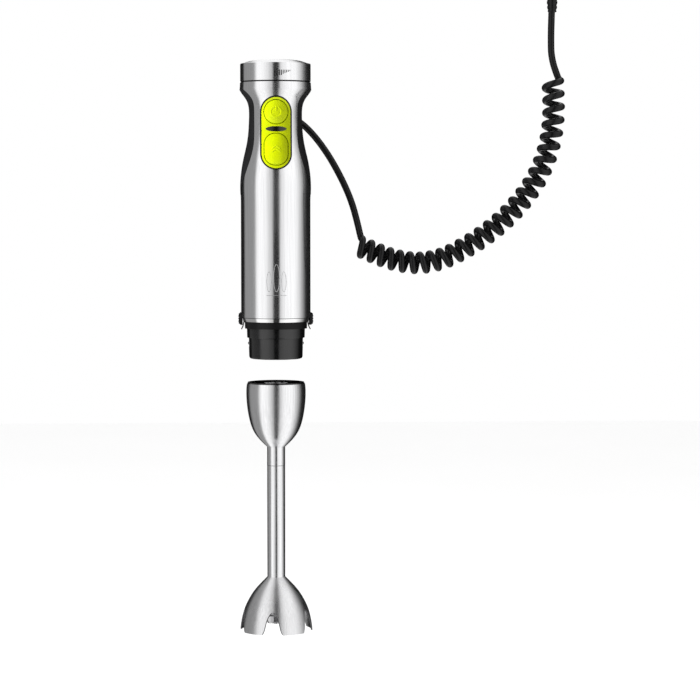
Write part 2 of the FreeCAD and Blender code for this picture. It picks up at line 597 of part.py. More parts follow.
def make_bell():
    outer = bell_outline(0, 0)
    inner = bell_outline(BELL_WALL, 0.6)
    bell = revolve_edges([spline(outer), line(outer[-1], inner[-1]), spline(inner), line(inner[0], outer[0])])
    bell = bell.common(disc(60, BELL_RIM_Z, BELL_TOP + 1))
    sides = [(ARCH_HALF_WIDTH + 1.0, -1.0), (6.3, 6.0), (4.7, 12.0)]
    right = [V(x, 0, BELL_RIM_Z + z) for x, z in sides]
    left = [V(-point.x, 0, point.z) for point in reversed(right)]
    outline = right + [V(0, 0, BELL_RIM_Z + ARCH_HEIGHT)] + left
    arch = front_prism([spline(outline), line(outline[-1], outline[0])], 50)
    for step in range(ARCH_COUNT):
        tool = arch.copy()
        tool.rotate(ORIGIN, Z, ARCH_FIRST + step * 360 / ARCH_COUNT)
        bell = bell.cut(tool)
    save("bell_guard", bell)
    hub = revolve([(4.5, -398.0), (9.0, -398.0), (9.0, -394.0), (6.25, -392.0), (6.25, -372.0), (4.5, -372.0)])
    save("bell_hub", hub)
    run = DRIVE_RADIUS + SHAFT_RUN
    save("shaft_bushes", [ring(6.0, run, -266.0, -254.0), ring(6.3, run, -336.0, -328.0),
                          ring(4.5, run, -397.0, -374.0)])
    save("shaft_seal", ring(6.5, run, -400.0, -398.0))


def make_blade():
    save("drive_shaft", disc(DRIVE_RADIUS, -420.5, SOCKET_BOTTOM + 4))
    socket = disc(5.6, SOCKET_BOTTOM, SOCKET_TOP).cut(hexagon(SOCKET_FLATS, SOCKET_TOP - 14, SOCKET_TOP + 1))
    save("drive_socket", socket.cut(disc(DRIVE_RADIUS, SOCKET_BOTTOM - 1, SOCKET_BOTTOM + 4)))
    blade = disc(5.5, BLADE_Z, BLADE_Z + 1.4)
    for side in (1, -1):
        flat = [(0, -4.2), (9.0, -4.6), (12.0, -4.4), (12.0, 3.6), (9.0, 4.2), (0, 4.2)]
        points = [V(side * x, side * y, BLADE_Z) for x, y in flat]
        wire = Part.Wire([line(a, b) for a, b in zip(points, points[1:] + points[:1])])
        blade = blade.fuse(Part.Face(wire).extrude(V(0, 0, 1.4)))
        tip = [(11.9, -4.4), (BLADE_REACH - 3, -4.0), (BLADE_REACH, 0.5), (BLADE_REACH - 2.5, 3.4), (11.9, 3.6)]
        points = [V(side * x, side * y, BLADE_Z) for x, y in tip]
        wire = Part.Wire([line(a, b) for a, b in zip(points, points[1:] + points[:1])])
        wing = Part.Face(wire).extrude(V(0, 0, 1.4))
        wing.rotate(V(side * 12.0, 0, BLADE_Z + 0.7), Y, -14)
        blade = blade.fuse(wing)
    blade = blade.cut(disc(DRIVE_RADIUS, -430, -400)).removeSplitter()
    save("blade", blade)
    save("blade_nut", hexagon(8.0, -419.0, BLADE_Z).cut(disc(DRIVE_RADIUS, -430, -400)))


# ---- cord -----------------------------------------------------------------------------------------
def rounded_path(route, name):
    """Straight runs joined by tangent arcs, each as large as its two runs allow."""
    points = [V(*place) for place in route]
    edges = []
    radii = []
    last = points[0]
    for before, corner, after in zip(points, points[1:], points[2:]):
        into = (corner - before).normalize()
        out = (after - corner).normalize()
        half_turn = into.getAngle(out) / 2
        trim = 0.45 * min((corner - before).Length, (after - corner).Length)
        radius = trim / math.tan(half_turn)
        radii.append(radius)
        start = corner - into * trim
        end = corner + out * trim
        middle = corner + (out - into).normalize() * (radius / math.cos(half_turn) - radius)
        edges.append(line(last, start))
        edges.append(arc(start, middle, end))
        last = end
    edges.append(line(last, points[-1]))
    wire = Part.Wire(edges)
    print(name, "length %.1f" % wire.Length, "radii", " ".join("%.0f" % radius for radius in radii))
    return wire


def tube(path, route, diameter):
    start = V(*route[0])
    heading = V(*route[1]) - start
    section = Part.Wire([Part.Circle(start, heading, diameter / 2).toShape()])
    shell = path.makePipeShell([section], True, False)
    return Part.Solid(shell) if shell.ShapeType == "Shell" else shell


def tube_along(route, diameter, name):
    path = rounded_path(route, name)
    solid = tube(path, route, diameter)
    expected = math.pi * diameter ** 2 / 4 * path.Length
    print(name, "volume %.0f, section times length %.0f" % (solid.Volume, expected))
    save(name, solid)


def make_strain_relief():
    """A tapered sleeve moulded round the first stretch of the cord, bending with it."""
    path = rounded_path(LEAD_ROUTE, "cord_strain_relief")
    places = path.discretize(Distance=RELIEF_STEP)
    rings = []
    for index in range(RELIEF_STEPS + 1):
        heading = (places[index + 1] - places[index - 1]).normalize() if index else Y
        share = index / RELIEF_STEPS
        radius = RELIEF_ROOT_RADIUS + (RELIEF_TIP_RADIUS - RELIEF_ROOT_RADIUS) * share
        centre = places[index] + heading * 0.02
        rings.append(Part.Wire([Part.Circle(centre, heading, radius).toShape()]))
    bore = tube(path, LEAD_ROUTE, CORD_DIAMETER + 0.04)
    save("cord_strain_relief", Part.makeLoft(rings, True).cut(bore))


def make_cord():
    wire_radius = CORD_DIAMETER / 2
    flange = Part.makeCylinder(6.9, 1.8, V(0, GLAND_FLANGE_Y - 1.8, GLAND_MOUTH.z), Y)
    barrel = Part.makeCylinder(GLAND_RADIUS - 0.02, GLAND_MOUTH.y - GLAND_FLANGE_Y,
                               V(0, GLAND_FLANGE_Y, GLAND_MOUTH.z), Y)
    bore = Part.makeCylinder(wire_radius + 0.1, 60, V(0, 0, GLAND_MOUTH.z), Y)
    save("cord_gland", flange.fuse(barrel).cut(bore).removeSplitter())
    make_strain_relief()
    tube_along(LEAD_ROUTE, CORD_DIAMETER, "cord_lead")
    tube_along(CURL_ROUTE, CURL_DIAMETER, "curly_cord")
    tube_along(TAIL_ROUTE, CORD_DIAMETER, "cord_tail")

    end = V(*TAIL_ROUTE[-1])
    relief = Part.makeCone(*PLUG_RELIEF_RADII, PLUG_RELIEF_LENGTH, end - Z * (PLUG_RELIEF_LENGTH - 10), Z)
    relief = relief.cut(Part.makeCylinder(wire_radius + 0.2, PLUG_RELIEF_LENGTH - 10 + 0.01,
                                          end - Z * (PLUG_RELIEF_LENGTH - 10), Z))
    save("plug_strain_relief", relief)
    foot = end.z + 10
    profile = [(12.0, 8.0), (17.5, 12.5), (18.0, 13.0)]
    levels = [foot, foot + 14.0, foot + PLUG_LENGTH]
    sections = []
    for (half_x, half_y), level in zip(profile, levels):
        ellipse = Part.Ellipse(V(end.x, end.y, level), half_x, half_y)
        sections.append(Part.Wire([ellipse.toShape()]))
    save("plug_body", Part.makeLoft(sections, True))
    pins = []
    for side in (-1, 1):
        centre = V(end.x + side * PIN_SPACING / 2, end.y, levels[-1])
        pins.append(Part.makeCylinder(PIN_RADIUS, PIN_LENGTH, centre, Z))
    save("plug_pins", pins)


def main():
    os.makedirs("parts", exist_ok=True)
    make_housing_and_grip()
    make_button_panel()
    make_buttons()
    make_dial()
    make_dial_seat()
    make_base()
    make_release(1)
    make_release(-1)
    make_chassis()
    make_electronics()
    make_motor()
    make_cup()
    make_shaft_tube()
    make_bell()
    make_blade()
    make_cord()


main()
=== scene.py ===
"""Looks of the corded immersion blender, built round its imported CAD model. Metres, the model's own frame:
the origin on the handle's axis at the waist, +Z up, the front facing -Y, the cord leaving towards +X."""
import json
import math

import bmesh
import bpy
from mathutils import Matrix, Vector


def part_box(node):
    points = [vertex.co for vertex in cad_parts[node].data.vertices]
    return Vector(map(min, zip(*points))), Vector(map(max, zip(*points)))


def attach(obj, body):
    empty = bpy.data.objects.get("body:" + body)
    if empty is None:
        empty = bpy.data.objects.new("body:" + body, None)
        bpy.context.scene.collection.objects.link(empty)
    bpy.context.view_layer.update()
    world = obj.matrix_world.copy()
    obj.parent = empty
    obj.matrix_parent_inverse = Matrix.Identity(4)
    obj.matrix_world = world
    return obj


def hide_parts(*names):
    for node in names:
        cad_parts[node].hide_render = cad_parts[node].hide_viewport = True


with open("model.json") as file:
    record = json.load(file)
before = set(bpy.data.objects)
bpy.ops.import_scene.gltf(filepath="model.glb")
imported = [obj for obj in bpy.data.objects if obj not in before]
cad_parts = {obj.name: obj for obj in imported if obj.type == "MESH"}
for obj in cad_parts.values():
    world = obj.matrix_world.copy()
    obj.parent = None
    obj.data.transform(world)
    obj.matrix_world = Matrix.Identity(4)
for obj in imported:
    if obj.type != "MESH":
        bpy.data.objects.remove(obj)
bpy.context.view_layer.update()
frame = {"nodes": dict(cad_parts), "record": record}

MM = 0.001
X = Vector((1, 0, 0))
Y = Vector((0, 1, 0))
Z = Vector((0, 0, 1))

# ---- camera ----------------------------------------------------------------------------------------
CAMERA_DISTANCE = 1.97
CAMERA_SIDE = 0.0608         # the camera aims this far to the right of the handle's axis
CAMERA_OFFSET = -0.10        # sideways, so that it sees the handle from a little to the left
AIM_Z = -0.1946
TILT = 3.5                   # degrees downwards
METRES_ACROSS = 0.574        # width seen at the object
SENSOR_WIDTH = 36.0          # millimetres

# ---- light and floor -------------------------------------------------------------------------------
# Brightness of the room by direction, in degrees from the front towards +X. Its panels lean with the object,
# so that a flared wall shows them where an upright wall does.
ROOM = [
    (-180, 0.012), (-131, 0.012), (-123, 0.30), (-75, 0.31), (-67, 1.02), (-58, 1.16), (-36, 1.10),
    (-27, 0.88), (-19, 0.70), (-11, 0.55), (-8.2, 0.030), (10, 0.030), (13.5, 0.80), (22, 0.94), (36, 1.14),
    (66, 1.16), (80, 0.86), (98, 0.38), (114, 0.05), (124, 0.014), (180, 0.012),
]
BACK_PANEL_LIGHT = 1.05      # the panel behind and above the object, which the tops of its curves show
BACK_PANEL_SIDES = (math.radians(60), math.radians(115))
BACK_PANEL_DEPTH = (0.35, 0.6)
BACK_PANEL_RISE = (0.05, 0.15)
DIFFUSE_LIGHT = 0.19         # light of the room on matt surfaces
BACKDROP_LIGHT = 1.0
KEY_PLACE = Vector((-1.5, -0.62, 0.95))
KEY_AIM = Vector((0.0, 0.0, -0.1))
KEY_SIZE = 0.6
KEY_POWER = 42.0
FLOOR_LEVEL = -0.62
FLOOR_REACH = 4.0
FLOOR_GLOW = 0.7

# ---- buttons ---------------------------------------------------------------------------------------
BUTTON_RINGS = 56
BUTTON_SPOKES = 144
SPEED_BUTTON = {"centre": -0.7 * MM, "half_x": 9.7 * MM, "half_z": 9.7 * MM, "corner": 9.69 * MM}
TURBO_BUTTON = {"centre": -30.8 * MM, "half_x": 9.6 * MM, "half_z": 12.8 * MM, "corner": 8.8 * MM}
GRIP_PROUD = 0.2 * MM
BUTTON_CROWN = 2.4 * MM      # height of a button's middle over the neck
BUTTON_SHOULDER = 0.5 * MM
BUTTON_SUNK = -1.4 * MM
EMBOSS = 0.36 * MM           # height of the raised marks
MARK_EDGE = 0.35 * MM        # soft edge of a raised line
OUTLINE_HALVINGS = 40
RING_CROWDING = 1.3          # how much closer a button's rings stand near its outline

# ---- release pads ----------------------------------------------------------------------------------
PAD_RINGS = 36
PAD_SPOKES = 96
PAD_CORNER = 1.9 * MM
PAD_RIB = 0.22 * MM
PAD_RIB_PITCH = 2.1 * MM
PAD_FALL = 1.5 * MM          # how far the pad's edge falls back from its face
PAD_RECESS = 0.25 * MM
PAD_BOW = 0.6 * MM

# ---- trim and marks --------------------------------------------------------------------------------
# the dark strip round the lime panel is painted shade of the gap there
GAP_SHADE_POINTS = 160
GAP_SHADE_SECTION = [(-0.1 * MM, 0.0), (0.05 * MM, 0.36 * MM), (1.05 * MM, 0.34 * MM), (1.3 * MM, -0.1 * MM)]
GAP_SHADE_CORNER_GAP = 0.01 * MM
GAP_SHADE_THICKNESS = 0.2 * MM
DIAL_BARS = 10
DIAL_TALL_BARS = 5
DIAL_TOP = 32.7 * MM
DIAL_START = math.radians(-3.4)
DIAL_PITCH = 1.42 * MM
DIAL_BAR_STEPS = 4
INK = 0.05 * MM
MARK_CLEAR = 0.03 * MM       # how far the printed bars and a seam's lips stand off the wall
SEAM_HALF = 0.22 * MM
SEAM_DEPTH = 0.5 * MM
SEAM_PROUD = 0.05 * MM
SEAM_FEELER = 0.8 * MM       # height over the seam at which the housing's radius is felt
SEAM_POINTS = 96
MARK_ABOVE_RING = 22 * MM
MARK_RAISED = 0.02 * MM
MARK_STROKE = 0.45 * MM
MARK_LEAVES = ((-6.0, 1.9, 8.0), (0.0, 2.4, 11.0), (6.0, 1.9, 8.0))     # middle, half width, half height
MARK_THICKNESS = 0.03 * MM
LEAF_STEPS = 40
LINE_STEPS = 9               # to each side of the middle
LINE_STEP = 0.9 * MM
LINE_DROP = 3.0 * MM         # how far the line lies under the leaves
CUT_EDGE_RADIUS = 0.42 * MM
CUT_EDGE_INSET = 0.35 * MM
CUT_EDGE_FOOT = 0.45 * MM    # the rolled edges stop this far over the guard's lowest point
CUT_WELD = 0.01 * MM
CUT_TURN = 0.4               # a face turned further than this from outward is a cut face
OUTER_WALL = 0.05

# ---- cord ------------------------------------------------------------------------------------------
# The routes are in millimetres.
WIRE = 0.0056                # diameter of the cord
CURL_OUTER = 0.0194          # diameter across the curly stretch
PITCH_START = 0.0086
PITCH_END = 0.0106
PITCH_SETTLES = 1.4          # the pitch reaches its end value this many times sooner than the coil ends
STEPS_A_TURN = 16
PHASE = math.radians(150)    # where the first turn starts round the coil's axis
LEAD_ROUTE = [
    (0, 26.0, 9.0), (0, 41.0, 6.4), (5.8, 53.0, 2.8), (17.0, 60.5, -2.8), (29.6, 60.5, -12.6),
    (43.3, 56.0, -30.2), (55.1, 49.0, -51.2), (64.0, 42.0, -71.8), (68.8, 36.0, -90.4),
    (69.6, 32.0, -105.0),
]
CURL_ROUTE = [
    (69.2, 31.0, -109.5), (84.6, 30.5, -116.6), (101.0, 30.0, -122.2), (119.6, 30.0, -124.6),
    (138.8, 30.0, -121.2), (156.6, 30.0, -112.4), (174.3, 30.0, -101.4), (191.3, 30.0, -87.8),
    (206.9, 30.0, -70.9), (219.3, 30.0, -52.2), (227.6, 30.0, -31.6), (231.6, 30.5, -11.2),
    (232.4, 31.5, 9.4), (231.4, 32.5, 29.0),
]
TAIL_ROUTE = [
    (231.4, 32.5, 29.0), (230.2, 33.2, 46.0), (229.8, 33.0, 64.0), (230.2, 32.6, 82.0), (230.6, 32.6, 98.0),
]
RELIEF_LENGTH = 28 * MM
RELIEF_ROOT = 4.75 * MM
RELIEF_TIP = 3.5 * MM
RELIEF_RIBS = 7
RELIEF_START = 0.02 * MM
RIB_STEPS = 10
RIB_DEPTH = 0.45 * MM
PLUG_SLEEVE_TIP = 3.8 * MM
PLUG_SLEEVE_RIBS = 6
PIN_SUNK = 0.6 * MM
PIN_TIP_STEPS = 9


# ---- mesh helpers ----------------------------------------------------------------------------------
def link(obj):
    bpy.context.scene.collection.objects.link(obj)
    return obj


def mesh_object(name, places, faces, smooth=True):
    mesh = bpy.data.meshes.new(name)
    mesh.from_pydata([tuple(place) for place in places], [], faces)
    build = bmesh.new()
    build.from_mesh(mesh)
    bmesh.ops.recalc_face_normals(build, faces=build.faces)
    build.to_mesh(mesh)
    build.free()
    mesh.polygons.foreach_set("use_smooth", [smooth] * len(mesh.polygons))
    return link(bpy.data.objects.new(name, mesh))


def loft(name, rings):
    """A closed skin over rings of equally many points, its two ends capped."""
    count = len(rings[0])
    places = [place for ring in rings for place in ring]
    faces = []
    for level in range(len(rings) - 1):
        for index in range(count):
            after = (index + 1) % count
            low, high = level * count, (level + 1) * count
            faces.append((low + index, low + after, high + after, high + index))
    faces.append(tuple(range(count)))
    faces.append(tuple(range((len(rings) - 1) * count, len(rings) * count)))
    return mesh_object(name, places, faces)


def circle_ring(centre, heading, radius, count=40):
    across = heading.cross(X if abs(heading.x) < 0.8 else Z).normalized()
    over = heading.cross(across).normalized()
    steps = [2 * math.pi * index / count for index in range(count)]
    return [centre + radius * (math.cos(step) * across + math.sin(step) * over) for step in steps]


def smooth_step(value, low, high):
    share = min(max((value - low) / (high - low), 0.0), 1.0)
    return share * share * (3 - 2 * share)


def outline_reach(half_x, half_z, corner, angle):
    """Distance from the middle of a rounded rectangle to its outline in a direction."""
    across, up = abs(math.cos(angle)), abs(math.sin(angle))
    near, far = 0.0, half_x + half_z
    for _ in range(OUTLINE_HALVINGS):
        middle = (near + far) / 2
        over_x = middle * across - (half_x - corner)
        over_z = middle * up - (half_z - corner)
        beyond = math.hypot(max(over_x, 0.0), max(over_z, 0.0))
        outside = beyond + min(max(over_x, over_z), 0.0) - corner
        near, far = (middle, far) if outside < 0 else (near, middle)
    return near


def pillow(name, size, height, place, rings=BUTTON_RINGS, spokes=BUTTON_SPOKES):
    """A closed puffed form over a rounded rectangle. height(x, z, share) is its rise, share going from 0 in
    the middle to 1 at the outline, and place(x, z, rise) puts it in the frame. Its back is flat at
    size["sunk"]."""
    reach = [outline_reach(size["half_x"], size["half_z"], size["corner"], 2 * math.pi * spoke / spokes)
             for spoke in range(spokes)]
    levels = [1 - (1 - ring / rings) ** RING_CROWDING for ring in range(1, rings + 1)]
    places = [place(0.0, 0.0, height(0.0, 0.0, 0.0))]
    faces = [(0, 1 + spoke, 1 + (spoke + 1) % spokes) for spoke in range(spokes)]
    for share in levels + [None]:
        for spoke in range(spokes):
            angle = 2 * math.pi * spoke / spokes
            along = reach[spoke] * (1.0 if share is None else share)
            x, z = along * math.cos(angle), along * math.sin(angle)
            places.append(place(x, z, size["sunk"] if share is None else height(x, z, share)))
    for level in range(len(levels)):
        for spoke in range(spokes):
            after = (spoke + 1) % spokes
            low, high = 1 + level * spokes, 1 + (level + 1) * spokes
            faces.append((low + spoke, low + after, high + after, high + spoke))
    last = 1 + len(levels) * spokes
    faces.append(tuple(range(last, last + spokes)))
    return mesh_object(name, places, faces)


# ---- material helpers ------------------------------------------------------------------------------
NOISE_LOW, NOISE_HIGH = 0.3, 0.7     # the values that a noise texture mostly keeps between
COAT_ROUGHNESS = 0.08


class Finish:
    """A procedural material: a shader, and textures in the object's own coordinates that vary it."""

    def __init__(self, name, colour, roughness, metallic=0.0, coat=0.0, specular=0.35):
        self.material = bpy.data.materials.new(name)
        self.material.use_nodes = True
        self.nodes = self.material.node_tree.nodes
        self.links = self.material.node_tree.links
        self.shader = self.nodes["Principled BSDF"]
        self.place = self.nodes.new("ShaderNodeTexCoord").outputs["Object"]
        self.shader.inputs["Base Color"].default_value = (*colour, 1.0)
        self.shader.inputs["Roughness"].default_value = roughness
        self.shader.inputs["Metallic"].default_value = metallic
        self.shader.inputs["Coat Weight"].default_value = coat
        self.shader.inputs["Coat Roughness"].default_value = COAT_ROUGHNESS
        self.shader.inputs["Specular IOR Level"].default_value = specular

    def noise(self, scale, stretch=(1, 1, 1), detail=3.0):
        mapping = self.nodes.new("ShaderNodeMapping")
        mapping.inputs["Scale"].default_value = stretch
        texture = self.nodes.new("ShaderNodeTexNoise")
        texture.inputs["Scale"].default_value = scale
        texture.inputs["Detail"].default_value = detail
        self.links.new(self.place, mapping.inputs["Vector"])
        self.links.new(mapping.outputs["Vector"], texture.inputs["Vector"])
        return texture.outputs["Fac"]

    def cells(self, scale):
        texture = self.nodes.new("ShaderNodeTexVoronoi")
        texture.inputs["Scale"].default_value = scale
        self.links.new(self.place, texture.inputs["Vector"])
        return texture.outputs["Distance"]

    def vector(self, operation, first, second):
        node = self.nodes.new("ShaderNodeVectorMath")
        node.operation = operation
        for socket, value in zip(node.inputs, (first, second)):
            if isinstance(value, tuple):
                socket.default_value = value
            else:
                self.links.new(value, socket)
        return node.outputs["Vector"]

    def paint_cut_face_shade(self, dark):
        """Paints shade on the faces that were cut through the wall, those that face round the axis: their
        colour is mixed towards a dark one that stands in for the shade on them.
        """
        unused = (0.0, 0.0, 0.0)
        level = self.vector("MULTIPLY", self.place, (1.0, 1.0, 0.0))
        outward = self.vector("NORMALIZE", level, unused)
        facing = self.place.node.outputs["Normal"]
        parts = self.nodes.new("ShaderNodeSeparateXYZ")
        turned_away = self.vector("ABSOLUTE", self.vector("CROSS_PRODUCT", outward, facing), unused)
        self.links.new(turned_away, parts.inputs[0])
        base = self.shader.inputs["Base Color"]
        mix = self.nodes.new("ShaderNodeMix")
        mix.data_type = "RGBA"
        self.links.new(self.ranged(parts.outputs["Z"], 0.0, 1.0, start=0.3, end=0.5), mix.inputs["Factor"])
        self.links.new(base.links[0].from_socket, mix.inputs["A"])
        mix.inputs["B"].default_value = (*dark, 1.0)
        self.links.new(mix.outputs["Result"], base)
        return self

    def ranged(self, value, low, high, start=NOISE_LOW, end=NOISE_HIGH):
        node = self.nodes.new("ShaderNodeMapRange")
        node.inputs["From Min"].default_value = start
        node.inputs["From Max"].default_value = end
        node.inputs["To Min"].default_value = low
        node.inputs["To Max"].default_value = high
        self.links.new(value, node.inputs["Value"])
        return node.outputs["Result"]

    def tint(self, value, dark, light):
        ramp = self.nodes.new("ShaderNodeValToRGB")
        ramp.color_ramp.elements[0].position = NOISE_LOW
        ramp.color_ramp.elements[0].color = (*dark, 1.0)
        ramp.color_ramp.elements[1].position = NOISE_HIGH
        ramp.color_ramp.elements[1].color = (*light, 1.0)
        self.links.new(value, ramp.inputs["Fac"])
        self.links.new(ramp.outputs["Color"], self.shader.inputs["Base Color"])
        return self

    def rough(self, value, low, high):
        self.links.new(self.ranged(value, low, high), self.shader.inputs["Roughness"])
        return self

    def bump(self, value, depth, strength=1.0):
        node = self.nodes.new("ShaderNodeBump")
        node.inputs["Distance"].default_value = depth
        node.inputs["Strength"].default_value = strength
        self.links.new(value, node.inputs["Height"])
        earlier = self.shader.inputs["Normal"]
        if earlier.is_linked:
            self.links.new(earlier.links[0].from_socket, node.inputs["Normal"])
        self.links.new(node.outputs["Normal"], earlier)
        return self


def shade(colour, factor):
    return tuple(min(channel * factor, 1.0) for channel in colour)


def brushed(name, colour, roughness, grain=(1, 1, 0.02), depth=0.006 * MM, spread=0.08):
    """Metal with a directional grain: the grain runs along the axis where its scale is small."""
    finish = Finish(name, colour, roughness, metallic=1.0)
    lines = finish.noise(2600, stretch=grain, detail=4.0)
    streaks = finish.noise(900, stretch=grain, detail=5.0)
    wear = finish.noise(60, stretch=(1, 1, 0.3), detail=4.0)
    finish.tint(streaks, dark=shade(colour, 0.93), light=shade(colour, 1.05))
    finish.rough(wear, roughness - spread / 2, roughness + spread / 2)
    return finish.bump(lines, depth, strength=0.5)


def turned(name, colour, roughness):
    """Machined metal with rings round the axis."""
    return brushed(name, colour, roughness, grain=(0.05, 0.05, 1), depth=0.01 * MM)


def moulded(name, colour, roughness, grain=2200, depth=0.012 * MM, specular=0.35):
    """Moulded plastic with a spark-eroded grain and faint handling marks."""
    finish = Finish(name, colour, roughness, specular=specular)
    finish.tint(finish.noise(45, detail=5.0), dark=shade(colour, 0.86), light=shade(colour, 1.14))
    finish.rough(finish.noise(120, detail=6.0), low=roughness - 0.05, high=roughness + 0.07)
    return finish.bump(finish.noise(grain, detail=2.0), depth, strength=0.6)


def rubbery(name, colour, roughness, depth=0.015 * MM):
    """Rubber: fine pores over a faint bloom."""
    finish = Finish(name, colour, roughness, specular=0.25)
    finish.tint(finish.noise(70, detail=6.0), dark=shade(colour, 0.75), light=shade(colour, 1.4))
    finish.rough(finish.noise(200, detail=5.0), low=roughness - 0.06, high=roughness + 0.08)
    return finish.bump(finish.cells(2400), depth, strength=0.5)


def board(name, colour):
    """Lacquered circuit board with copper tracks showing through."""
    finish = Finish(name, colour, 0.35, coat=0.4)
    tracks = finish.noise(500, stretch=(1, 1, 0.2), detail=1.0)
    finish.tint(tracks, dark=shade(colour, 0.7), light=(0.3, 0.22, 0.06))
    return finish.bump(finish.noise(900), depth=0.02 * MM, strength=0.5)


def wound(name, colour):
    """Enamelled copper wire laid in close turns."""
    finish = Finish(name, colour, 0.3, metallic=0.85, coat=0.3)
    along_turns = (0.05, 0.05, 1)
    wires = finish.noise(1800, stretch=along_turns, detail=1.0)
    finish.tint(wires, dark=shade(colour, 0.5), light=shade(colour, 1.2))
    turns = finish.noise(1500, stretch=along_turns, detail=0.0)
    return finish.bump(turns, depth=0.15 * MM, strength=0.8)


def laminated(name, colour):
    """A stack of thin sheets: fine lines across the axis."""
    finish = Finish(name, colour, 0.5, metallic=0.5)
    across_axis = (0.01, 0.01, 1)
    sheets = finish.noise(2500, stretch=across_axis, detail=0.0)
    finish.tint(sheets, dark=shade(colour, 0.5), light=shade(colour, 1.2))
    edges = finish.noise(2500, stretch=across_axis, detail=0.0)
    return finish.bump(edges, depth=0.05 * MM, strength=0.7)


def make_finishes():
    """A material for each material slot of the record."""
    steel = (0.86, 0.86, 0.87)
    black = (0.006, 0.006, 0.0065)
    finishes = {
        "polished_steel": brushed("satin_polished_steel", steel, 0.17),
        "brushed_wand_steel": brushed("fine_brushed_steel", shade(steel, 0.98), 0.22, depth=0.012 * MM),
        "soft_grip": rubbery("soft_touch_grip", shade(black, 1.2), 0.5),
        "black_trim": moulded("black_trim", shade(black, 0.6), 0.3),
        "black_plastic": moulded("black_moulding", shade(black, 0.6), 0.32, specular=0.2),
        "black_gloss": moulded(
            "glossy_black_moulding", shade(black, 0.4), 0.16, depth=0.003 * MM, specular=0.7),
        "lime_plastic": moulded("satin_lime", (0.64, 0.76, 0.0), 0.38, depth=0.008 * MM, specular=0.18),
        "inner_plastic": moulded("glass_filled_nylon", (0.11, 0.11, 0.12), 0.5, grain=1200, depth=0.03 * MM),
        "circuit_board": board("lacquered_board", (0.03, 0.2, 0.07)),
        "carbon": rubbery("pressed_carbon", (0.03, 0.03, 0.032), 0.6, depth=0.03 * MM),
        "cast_alloy": Finish("die_cast_alloy", (0.55, 0.55, 0.57), 0.5, metallic=1.0),
        "lamination_steel": laminated("varnished_laminations", (0.3, 0.3, 0.32)),
        "copper_wire": wound("enamelled_copper", (0.66, 0.3, 0.14)),
        "zinc_steel": turned("turned_steel", (0.62, 0.62, 0.63), 0.28),
        "spring_steel": brushed("spring_steel", (0.8, 0.8, 0.79), 0.16),
        "blade_steel": brushed("ground_blade_steel", (0.74, 0.74, 0.75), 0.26, grain=(0.06, 1, 1)),
        "bronze": turned("sintered_bronze", (0.5, 0.32, 0.14), 0.4),
        "seal_rubber": rubbery("nitrile_rubber", (0.02, 0.02, 0.02), 0.5),
        "cord_rubber": rubbery("cord_sheath", shade(black, 0.7), 0.27, depth=0.006 * MM),
        "plug_rubber": rubbery("plug_moulding", shade(black, 1.5), 0.4),
        "nickel_pins": turned("nickel_plate", (0.78, 0.76, 0.7), 0.14),
    }
    finishes["guard"] = brushed("brushed_guard_steel", shade(steel, 0.88), 0.28, depth=0.015 * MM)
    # painted shade: the guard's cut faces are mixed towards a near-black colour
    finishes["guard"].paint_cut_face_shade((0.05, 0.05, 0.052))
    # painted shade: dark metal for the rolled edges along the guard's cuts
    finishes["cut_edge"] = brushed("rolled_cut_edge", (0.16, 0.16, 0.165), 0.34, grain=(1, 1, 1))
    finishes["etching"] = brushed("etched_steel", shade(steel, 0.72), 0.42, grain=(1, 1, 1))
    finishes["bright_ring"] = turned("bright_turned_ring", (0.95, 0.95, 0.95), 0.1)
    alloy = finishes["cast_alloy"]
    alloy.rough(alloy.noise(300, detail=6.0), low=0.42, high=0.62)
    alloy.bump(alloy.noise(1400, detail=3.0), depth=0.04 * MM, strength=0.6)
    return {slot: finish.material for slot, finish in finishes.items()}


FINISHES = make_finishes()
OWN_FINISH = {"bell_guard": "guard", "base_ring": "bright_ring"}


def finish_piece(piece, body, slot, *nodes):
    piece.data.materials.clear()
    piece.data.materials.append(FINISHES[slot])
    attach(piece, body)
    if nodes:
        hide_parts(*nodes)
    return piece


def dress_cad_nodes():
    for part in frame["record"]["subparts"]:
        node = frame["nodes"][part["node"]]
        finish = FINISHES[OWN_FINISH.get(part["node"], part["material_slot"])]
        for index in range(max(len(node.material_slots), 1)):
            if not node.material_slots:
                node.data.materials.append(None)
            node.material_slots[index].material = finish


# ---- camera, light and floor -----------------------------------------------------------------------
def make_camera():
    data = bpy.data.cameras.new("camera")
    data.sensor_width = SENSOR_WIDTH
    data.lens = data.sensor_width * CAMERA_DISTANCE / METRES_ACROSS
    camera = link(bpy.data.objects.new("camera", data))
    aim = Vector((CAMERA_SIDE, 0.0, AIM_Z))
    tilt = math.radians(TILT)
    backwards = Vector((0.0, -math.cos(tilt), math.sin(tilt)))
    camera.location = aim + backwards * CAMERA_DISTANCE + X * CAMERA_OFFSET
    camera.rotation_euler = (aim - camera.location).to_track_quat("-Z", "Y").to_euler()
    bpy.context.scene.camera = camera


